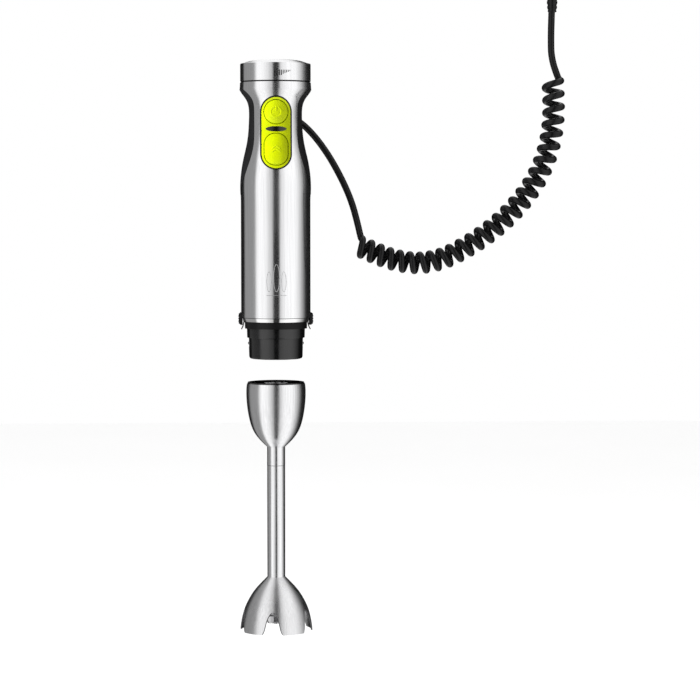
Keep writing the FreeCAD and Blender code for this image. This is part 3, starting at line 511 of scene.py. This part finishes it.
def make_room():
    """A bright studio: tall soft panels with dark gaps between them, and a bright one behind and above."""
    world = bpy.data.worlds.new("studio")
    bpy.context.scene.world = world
    world.use_nodes = True
    nodes, links = world.node_tree.nodes, world.node_tree.links

    def maths(operation, first, second=0.0):
        node = nodes.new("ShaderNodeMath")
        node.operation = operation
        for socket, value in zip(node.inputs, (first, second)):
            if isinstance(value, float):
                socket.default_value = value
            else:
                links.new(value, socket)
        return node.outputs[0]

    def between(value, low, high):
        node = nodes.new("ShaderNodeMapRange")
        node.interpolation_type = "SMOOTHSTEP"
        node.inputs["From Min"].default_value = low
        node.inputs["From Max"].default_value = high
        links.new(value, node.inputs["Value"])
        return node.outputs["Result"]

    def blend(share, base, other):
        node = nodes.new("ShaderNodeMix")
        for socket, value in zip((node.inputs[0], node.inputs[2], node.inputs[3]), (share, base, other)):
            if isinstance(value, float):
                socket.default_value = value
            else:
                links.new(value, socket)
        return node.outputs[0]

    heading = nodes.new("ShaderNodeSeparateXYZ")
    links.new(nodes.new("ShaderNodeTexCoord").outputs["Generated"], heading.inputs[0])
    across, depth, up = heading.outputs
    azimuth = maths("MULTIPLY", maths("ARCTAN2", across, maths("SUBTRACT", 1.0, depth)), 2.0)
    ramp = nodes.new("ShaderNodeValToRGB")
    links.new(maths("ADD", maths("DIVIDE", azimuth, 2 * math.pi), 0.5), ramp.inputs["Fac"])
    stops = ramp.color_ramp.elements
    while len(stops) < len(ROOM):
        stops.new(0.5)
    for stop, (degrees, light) in zip(stops, ROOM):
        stop.position = degrees / 360 + 0.5
        stop.color = (light, light, light, 1.0)
    middle = maths("SUBTRACT", 1.0, between(maths("ABSOLUTE", azimuth), *BACK_PANEL_SIDES))
    behind = maths("MULTIPLY", between(depth, *BACK_PANEL_DEPTH), between(up, *BACK_PANEL_RISE))
    room = blend(maths("MULTIPLY", behind, middle), ramp.outputs["Color"], BACK_PANEL_LIGHT)
    path = nodes.new("ShaderNodeLightPath")
    room = blend(path.outputs["Is Diffuse Ray"], room, DIFFUSE_LIGHT)
    room = blend(path.outputs["Is Camera Ray"], room, BACKDROP_LIGHT)
    links.new(room, nodes["Background"].inputs["Color"])


def make_key_light():
    """One soft lamp from the upper left."""
    data = bpy.data.lights.new("key_light", "AREA")
    data.size = KEY_SIZE
    data.energy = KEY_POWER
    lamp = link(bpy.data.objects.new("key_light", data))
    lamp.location = KEY_PLACE
    lamp.rotation_euler = (KEY_AIM - lamp.location).to_track_quat("-Z", "Y").to_euler()
    lamp.visible_glossy = False


def make_floor():
    sides = ((-1, -1), (1, -1), (1, 1), (-1, 1))
    corners = [Vector((x * FLOOR_REACH, y * FLOOR_REACH, FLOOR_LEVEL)) for x, y in sides]
    floor = mesh_object("studio_floor", corners, [(0, 1, 2, 3)], smooth=False)
    finish = Finish("pale_floor", (0.9, 0.9, 0.9), 0.8)
    finish.tint(finish.noise(3.0), dark=(0.88, 0.88, 0.88), light=(0.92, 0.92, 0.92))
    finish.shader.inputs["Emission Color"].default_value = (1.0, 1.0, 1.0, 1.0)
    finish.shader.inputs["Emission Strength"].default_value = FLOOR_GLOW
    floor.data.materials.append(finish.material)
    floor.visible_glossy = False


# ---- buttons, pads and marks -----------------------------------------------------------------------
NECK_LOWEST, NECK_HIGHEST = -52, 16      # whole millimetres
FEELER_START = 0.09          # distance from the axis at which a ray starts towards it


def neck_radii():
    """Outer radius of the neck by height, felt on the grip behind it."""
    grip = frame["nodes"]["rear_grip"]
    outward = (X + Y).normalized()
    radii = {}
    for level in range(NECK_LOWEST, NECK_HIGHEST + 1):
        start = outward * FEELER_START + Z * level * MM
        hit, place, _, _ = grip.ray_cast(start, -outward)
        if hit:
            radii[level] = math.hypot(place.x, place.y) - GRIP_PROUD
    return radii


NECK = neck_radii()


def neck_radius(height):
    level = math.floor(height / MM)
    share = height / MM - level
    return NECK[level] * (1 - share) + NECK[level + 1] * share


def on_neck(centre):
    def place(x, z, rise):
        radius = neck_radius(centre + z) + rise
        return Vector((x, -math.sqrt(radius ** 2 - x ** 2), centre + z))
    return place


def line_mark(distance, width):
    """1 on a raised line, falling to 0 over its soft edge."""
    return 1 - smooth_step(abs(distance), width / 2, width / 2 + MARK_EDGE)


def power_mark(x, z):
    """A broken ring and an upright bar."""
    ring_radius, ring_width, ring_gap = 4.3 * MM, 0.6 * MM, 2.2 * MM
    bar_width, bar_middle, bar_half = 0.7 * MM, 2.9 * MM, 2.0 * MM
    bar_end = 2.3 * MM
    gap = line_mark(x, ring_gap) * (z > 0)
    ring = line_mark(math.hypot(x, z) - ring_radius, ring_width) * (1 - gap)
    bar = line_mark(x, bar_width) * (1 - smooth_step(abs(z - bar_middle), bar_half, bar_end))
    return max(ring, bar)


def chevron_mark(x, z):
    """Two arrow heads pointing up."""
    slope, width = 0.7, 0.75 * MM
    arm_end, arm_limit = 3.2 * MM, 3.5 * MM
    limit = 1 - smooth_step(abs(x), arm_end, arm_limit)
    arms = [line_mark(z + slope * abs(x) - level, width) for level in (0.4 * MM, 3.0 * MM)]
    return max(arms) * limit


def make_button(name, size, mark):
    """A crowned button with a raised mark and a shoulder that falls away round its edge."""
    def height(x, z, share):
        dome = BUTTON_SHOULDER + (BUTTON_CROWN - BUTTON_SHOULDER) * (1 - share ** 2.4)
        fall = (BUTTON_SHOULDER + 0.5 * MM) * smooth_step(share, 0.93, 1.0) ** 1.5
        return dome - fall + EMBOSS * mark(x, z)

    form = dict(size, sunk=BUTTON_SUNK)
    button = pillow(name + "_cap", form, height, on_neck(size["centre"]))
    return finish_piece(button, name, "lime_plastic", name)


def make_panel_gap_shade():
    """A thin dark strip between the lime panel and the steel round it: painted shade of the gap there."""
    low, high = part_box("button_bezel")
    half_x, half_z = high[0], (high[2] - low[2]) / 2
    place = on_neck((high[2] + low[2]) / 2)
    places, faces = [], []
    for index in range(GAP_SHADE_POINTS):
        angle = 2 * math.pi * index / GAP_SHADE_POINTS
        for wider, rise in GAP_SHADE_SECTION:
            corner = half_x + wider - GAP_SHADE_CORNER_GAP
            reach = outline_reach(half_x + wider, half_z + wider, corner, angle)
            places.append(place(reach * math.cos(angle), reach * math.sin(angle), rise))
    size = len(GAP_SHADE_SECTION)
    for index in range(GAP_SHADE_POINTS):
        start = index * size
        after = (index + 1) % GAP_SHADE_POINTS * size
        for side in range(size - 1):
            faces.append((start + side, after + side, after + side + 1, start + side + 1))
    gap_shade = mesh_object("panel_gap_shade", places, faces)
    skin = gap_shade.modifiers.new("thickness", "SOLIDIFY")
    skin.thickness = GAP_SHADE_THICKNESS
    # black trim colour: painted shade of the gap round the panel
    return finish_piece(gap_shade, "handle", "black_trim")


def make_release_pad(side, name, body):
    """A ribbed pad, bowed to the handle's side. side is 1 on the right and -1 on the left."""
    low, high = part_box(name)
    outer = max(abs(low[0]), abs(high[0]))
    inner = min(abs(low[0]), abs(high[0]))
    middle_z = (low[2] + high[2]) / 2
    size = {
        "half_x": (high[1] - low[1]) / 2,
        "half_z": (high[2] - low[2]) / 2,
        "corner": PAD_CORNER,
        "sunk": -(outer - inner),
    }

    def height(x, z, share):
        ribs = PAD_RIB * math.cos(2 * math.pi * z / PAD_RIB_PITCH) * (1 - smooth_step(share, 0.6, 0.8))
        return -PAD_FALL * smooth_step(share, 0.62, 1.0) ** 2 - PAD_RECESS + ribs

    def place(x, z, rise):
        bow = PAD_BOW * (x / size["half_x"]) ** 2 if rise > size["sunk"] else 0.0
        return Vector((side * (outer + rise - bow), x, middle_z + z))

    pad = pillow(name + "_skin", size, height, place, rings=PAD_RINGS, spokes=PAD_SPOKES)
    return finish_piece(pad, body, "black_plastic", name)


def dial_bar(index):
    """Height and width of a bar of the dial's mark, in millimetres."""
    if index < DIAL_TALL_BARS:
        return 4.8 - 0.12 * index, 0.78
    return 3.3 - 0.55 * (index - DIAL_TALL_BARS), 0.7


def make_dial_marks():
    """A printed wedge of bars on the dial, from thick and tall to thin and short."""
    low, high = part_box("dial_cap")
    radius = max(high[0], -low[0]) + MARK_CLEAR
    places, faces = [], []
    angle = DIAL_START
    row = DIAL_BAR_STEPS + 1
    for index in range(DIAL_BARS):
        tall, wide = dial_bar(index)
        first = len(places)
        for level in (DIAL_TOP, DIAL_TOP - tall * MM):
            for step in range(row):
                turn = angle + wide * MM / radius * step / DIAL_BAR_STEPS
                places.append(Vector((radius * math.sin(turn), -radius * math.cos(turn), level)))
        for step in range(first, first + DIAL_BAR_STEPS):
            faces.append((step, step + 1, step + row + 1, step + row))
        angle += DIAL_PITCH / radius
    marks = mesh_object("dial_marks", places, faces)
    skin = marks.modifiers.new("ink", "SOLIDIFY")
    skin.thickness = INK
    skin.offset = 0.0
    return finish_piece(marks, "dial", "black_trim")


def make_seam_shade(name, body, level, radius):
    """A thin dark ring standing in the joint between two turned parts: painted shade of the gap between them.
    """
    inner = radius - SEAM_DEPTH
    lip = radius + MARK_CLEAR
    section = [(inner, -SEAM_HALF), (lip, -SEAM_HALF), (radius + SEAM_PROUD, 0.0), (lip, SEAM_HALF),
               (inner, SEAM_HALF)]
    places, faces = [], []
    for index in range(SEAM_POINTS):
        turn = 2 * math.pi * index / SEAM_POINTS
        for away, rise in section:
            places.append(Vector((away * math.cos(turn), away * math.sin(turn), level + rise)))
    size = len(section)
    for index in range(SEAM_POINTS):
        start = index * size
        after = (index + 1) % SEAM_POINTS * size
        for corner in range(size):
            other = (corner + 1) % size
            faces.append((start + corner, start + other, after + other, after + corner))
    # black trim colour: painted shade of the gap in the joint
    return finish_piece(mesh_object(name, places, faces), body, "black_trim")


def front_radius(name, level):
    """Outer radius of a CAD node at a height, felt from the front."""
    _, place, _, _ = frame["nodes"][name].ray_cast(Vector((0.0, -FEELER_START, level)), Y)
    return -place.y


def make_seam_shades():
    """Rings of painted shade in the seams at the foot of the steel housing and at the top of the wand's tube.
    """
    _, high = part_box("base_ring")
    make_seam_shade("housing_seam_shade", "handle", high[2], front_radius("steel_housing", high[2] + SEAM_FEELER))
    _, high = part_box("wand_tube")
    make_seam_shade("tube_seam_shade", "wand", high[2], high[0])


def on_body(x, z, radius):
    """A place on the handle's wall: x along the wall from its front line, z its height."""
    return Vector((radius * math.sin(x / radius), -radius * math.cos(x / radius), z))


def make_etched_mark():
    """A faint etched motif low on the handle: three upright leaves over a short line."""
    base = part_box("base_ring")[1][2] + MARK_ABOVE_RING
    radius = front_radius("steel_housing", base) + MARK_RAISED
    places, faces = [], []

    def strip(middle):
        """A band along a line of (x, z, across_x, across_z)."""
        first = len(places)
        for x, z, across_x, across_z in middle:
            for side in (-0.5, 0.5):
                off_x = side * MARK_STROKE * across_x
                off_z = side * MARK_STROKE * across_z
                places.append(on_body(x + off_x, z + off_z, radius))
        for start in range(first, len(places) - 2, 2):
            faces.append((start, start + 1, start + 3, start + 2))

    turns = [2 * math.pi * step / LEAF_STEPS for step in range(LEAF_STEPS + 1)]
    for centre, half_x, half_z in MARK_LEAVES:
        strip([((centre + half_x * math.cos(turn)) * MM, base + (half_z + half_z * math.sin(turn)) * MM,
                math.cos(turn), math.sin(turn)) for turn in turns])
    strip([(step * LINE_STEP, base - LINE_DROP, 0.0, 1.0) for step in range(-LINE_STEPS, LINE_STEPS + 1)])
    mark = mesh_object("etched_mark", places, faces)
    skin = mark.modifiers.new("depth", "SOLIDIFY")
    skin.thickness = MARK_THICKNESS
    skin.offset = 0.0
    finish_piece(mark, "handle", "polished_steel")
    mark.data.materials[0] = FINISHES["etching"]


SHORTEST_RUN = 4             # places; anything shorter is a scrap of a seam


def chains(edges):
    """Edges joined end to end into runs of places."""
    near = {}
    for edge in edges:
        for corner in edge.verts:
            near.setdefault(corner, []).append(edge)
    left = set(edges)
    runs = []
    for corner in [corner for corner, own in near.items() if len(own) == 1]:
        run = [corner.co.copy()]
        onward = [edge for edge in near[corner] if edge in left]
        while onward:
            left.discard(onward[0])
            corner = onward[0].other_vert(corner)
            run.append(corner.co.copy())
            onward = [edge for edge in near[corner] if edge in left]
        if len(run) >= SHORTEST_RUN:
            runs.append(run)
    return runs


def make_guard_edges():
    """The rolled edges of the guard's arches, laid along the cuts in its outer wall, in a dark metal that is
    painted shade of the cut faces.
    """
    build = bmesh.new()
    build.from_mesh(frame["nodes"]["bell_guard"].data)
    bmesh.ops.remove_doubles(build, verts=build.verts, dist=CUT_WELD)

    def outward(face):
        centre = face.calc_center_median()
        return Vector((centre.x, centre.y, 0)).normalized()

    edges = []
    for edge in build.edges:
        walls = [face for face in edge.link_faces if abs(outward(face).cross(face.normal).z) < CUT_TURN]
        if len(edge.link_faces) == 2 and len(walls) == 1:
            if outward(walls[0]).dot(walls[0].normal) > OUTER_WALL:
                edges.append(edge)
    curve = bpy.data.curves.new("guard_edges", "CURVE")
    curve.dimensions = "3D"
    curve.bevel_depth = CUT_EDGE_RADIUS
    curve.bevel_resolution = 3
    curve.use_fill_caps = True
    lowest = min(corner.co.z for corner in build.verts)
    for run in chains(edges):
        run = [place for place in run if place.z > lowest + CUT_EDGE_FOOT]
        spline = curve.splines.new("POLY")
        spline.points.add(len(run) - 1)
        for point, place in zip(spline.points, run):
            inward = Vector((place.x, place.y, 0)).normalized() * CUT_EDGE_INSET
            point.co = (*(place - inward), 1.0)
    build.free()
    drawn = link(bpy.data.objects.new("edge_lines", curve))
    rolled = link(bpy.data.objects.new("guard_edges", bpy.data.meshes.new_from_object(drawn)))
    bpy.data.objects.remove(drawn)
    rolled.data.shade_smooth()
    finish_piece(rolled, "wand", "brushed_wand_steel")
    # the dark finish of the rolled edges is painted shade
    rolled.data.materials[0] = FINISHES["cut_edge"]


# ---- cord and plug ---------------------------------------------------------------------------------
def metres(route):
    return [Vector(place) * MM for place in route]


def nurbs_object(name, points, bevel=0.0):
    """A smooth open NURBS curve with these control points."""
    curve = bpy.data.curves.new(name, "CURVE")
    curve.dimensions = "3D"
    curve.resolution_u = 12
    curve.bevel_depth = bevel
    curve.bevel_resolution = 5
    curve.use_fill_caps = True
    spline = curve.splines.new("NURBS")
    spline.points.add(len(points) - 1)
    for control, place in zip(spline.points, points):
        control.co = (place.x, place.y, place.z, 1.0)
    spline.order_u = 3
    spline.use_endpoint_u = True
    return link(bpy.data.objects.new(name, curve))


def line_of(points):
    """Points along the NURBS spline of a route, as Blender works them out."""
    probe = nurbs_object("probe", points)
    mesh = bpy.data.meshes.new_from_object(probe)
    places = [vertex.co.copy() for vertex in mesh.vertices]
    bpy.data.objects.remove(probe)
    return places


class Line:
    """A smooth line that can be asked for a place and a heading at a distance along it."""

    def __init__(self, places):
        self.places = places
        self.marks = [0.0]
        for before, after in zip(places, places[1:]):
            self.marks.append(self.marks[-1] + (after - before).length)
        self.length = self.marks[-1]

    def at(self, distance):
        distance = min(max(distance, 0.0), self.length)
        index = 1
        while index < len(self.marks) - 1 and self.marks[index] < distance:
            index += 1
        before, after = self.places[index - 1], self.places[index]
        span = self.marks[index] - self.marks[index - 1]
        share = (distance - self.marks[index - 1]) / max(span, 1e-9)
        return before.lerp(after, share), (after - before).normalized()


def helix_points(axis):
    """Turns of the curly cord round its axis, opening a little towards the far end."""
    coil_radius = (CURL_OUTER - WIRE) / 2
    points = []
    turn = 0.0
    distance = 0.0
    while distance < axis.length:
        place, heading = axis.at(distance)
        side = (Y - heading * Y.dot(heading)).normalized()
        up = side.cross(heading).normalized()
        angle = PHASE + turn * 2 * math.pi
        points.append(place + coil_radius * (math.cos(angle) * up + math.sin(angle) * side))
        share = distance / axis.length
        pitch = PITCH_START + (PITCH_END - PITCH_START) * min(1.0, share * PITCH_SETTLES)
        turn += 1 / STEPS_A_TURN
        distance += pitch / STEPS_A_TURN
    return points


def sleeve(name, line, start, length, root, tip, ribs):
    """A tapered ribbed sleeve round a line, root first, with a rounded tip."""
    rings = []
    steps = ribs * RIB_STEPS
    for step in range(steps + 1):
        share = step / steps
        place, heading = line.at(start + length * share)
        radius = root + (tip - root) * share
        wave = 0.5 + 0.5 * math.cos(2 * math.pi * ribs * share)
        radius -= RIB_DEPTH * (1 - smooth_step(wave, 0.25, 0.6)) * smooth_step(share, 0.04, 0.08)
        radius -= (tip - WIRE / 2) * smooth_step(share, 0.97, 1.0)
        rings.append(circle_ring(place, heading, radius))
    return loft(name, rings)


def superellipse_ring(centre, half_x, half_y, power=2.6, count=72):
    ring = []
    for index in range(count):
        angle = 2 * math.pi * index / count
        reach = (abs(math.cos(angle)) ** power + abs(math.sin(angle)) ** power) ** (-1 / power)
        ring.append(centre + Vector((half_x * reach * math.cos(angle), half_y * reach * math.sin(angle), 0)))
    return ring


# Share of the height, share of the width and share of the thickness, with grip grooves halfway up.
PLUG_PROFILE = [
    (0.0, 0.52, 0.50), (0.02, 0.58, 0.56), (0.10, 0.66, 0.62), (0.22, 0.78, 0.72), (0.36, 0.92, 0.88),
    (0.42, 0.955, 0.93), (0.45, 0.93, 0.90), (0.48, 0.96, 0.94), (0.51, 0.935, 0.905), (0.54, 0.965, 0.95),
    (0.57, 0.94, 0.91), (0.60, 0.97, 0.96), (0.66, 0.98, 0.98), (0.90, 0.995, 0.995), (0.97, 0.98, 0.98),
    (1.0, 0.93, 0.92), (1.0, 0.80, 0.78), (0.985, 0.78, 0.76),
]


def make_plug():
    low, high = [Vector(corner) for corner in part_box("plug_body")]
    middle = (low + high) / 2
    tall = high.z - low.z
    wide, thick = (high.x - low.x) / 2, (high.y - low.y) / 2
    rings = []
    for level, across, deep in PLUG_PROFILE:
        centre = Vector((middle.x, middle.y, low.z + tall * level))
        rings.append(superellipse_ring(centre, wide * across, thick * deep))
    body = finish_piece(loft("plug_moulding", rings), "handle", "plug_rubber", "plug_body")
    return [body, make_pins(), make_plug_sleeve()]


def make_pins():
    low, high = [Vector(corner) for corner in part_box("plug_pins")]
    radius = (high.y - low.y) / 2
    tall = high.z - low.z
    parts = []
    for centre_x in (low.x + radius, high.x - radius):
        centre = Vector((centre_x, (low.y + high.y) / 2, low.z))
        shoulder = tall - radius
        rings = [circle_ring(centre - Z * PIN_SUNK, Z, radius), circle_ring(centre + Z * shoulder, Z, radius)]
        for step in range(1, PIN_TIP_STEPS):
            angle = math.pi / 2 * step / PIN_TIP_STEPS
            tip = centre + Z * (shoulder + radius * math.sin(angle))
            rings.append(circle_ring(tip, Z, radius * math.cos(angle)))
        parts.append(loft("pin", rings))
    pins = parts[0]
    with bpy.context.temp_override(active_object=pins, selected_editable_objects=parts):
        bpy.ops.object.join()
    pins.name = "mains_pins"
    return finish_piece(pins, "handle", "nickel_pins", "plug_pins")


def make_plug_sleeve():
    low, high = [Vector(corner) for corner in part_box("plug_strain_relief")]
    centre = Vector(((low.x + high.x) / 2, (low.y + high.y) / 2, 0))
    line = Line([centre + Z * high.z, centre + Z * low.z])
    root = (high.x - low.x) / 2
    piece = sleeve("plug_sleeve", line, 0.0, line.length, root, PLUG_SLEEVE_TIP, PLUG_SLEEVE_RIBS)
    return finish_piece(piece, "handle", "cord_rubber", "plug_strain_relief")


def make_cord():
    axis = Line(line_of(metres(CURL_ROUTE)))
    route = metres(LEAD_ROUTE)[:-1] + helix_points(axis) + metres(TAIL_ROUTE)[1:]
    cord = nurbs_object("mains_cord", route, WIRE / 2)
    line = Line(line_of(route))
    finish_piece(cord, "handle", "cord_rubber", "cord_lead", "curly_cord", "cord_tail")
    relief = sleeve("cord_sleeve", line, RELIEF_START, RELIEF_LENGTH, RELIEF_ROOT, RELIEF_TIP, RELIEF_RIBS)
    finish_piece(relief, "handle", "cord_rubber", "cord_strain_relief")
    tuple(metres(LEAD_ROUTE)[0])
    make_plug()


dress_cad_nodes()
make_camera()
make_room()
make_key_light()
make_floor()
make_button("speed_button", SPEED_BUTTON, power_mark)
make_button("turbo_button", TURBO_BUTTON, chevron_mark)
make_panel_gap_shade()
make_release_pad(1, "right_release_pad", "release_right")
make_release_pad(-1, "left_release_pad", "release_left")
make_dial_marks()
make_seam_shades()
make_etched_mark()
make_guard_edges()
make_cord()
bpy.context.scene.view_settings.view_transform = "Standard"
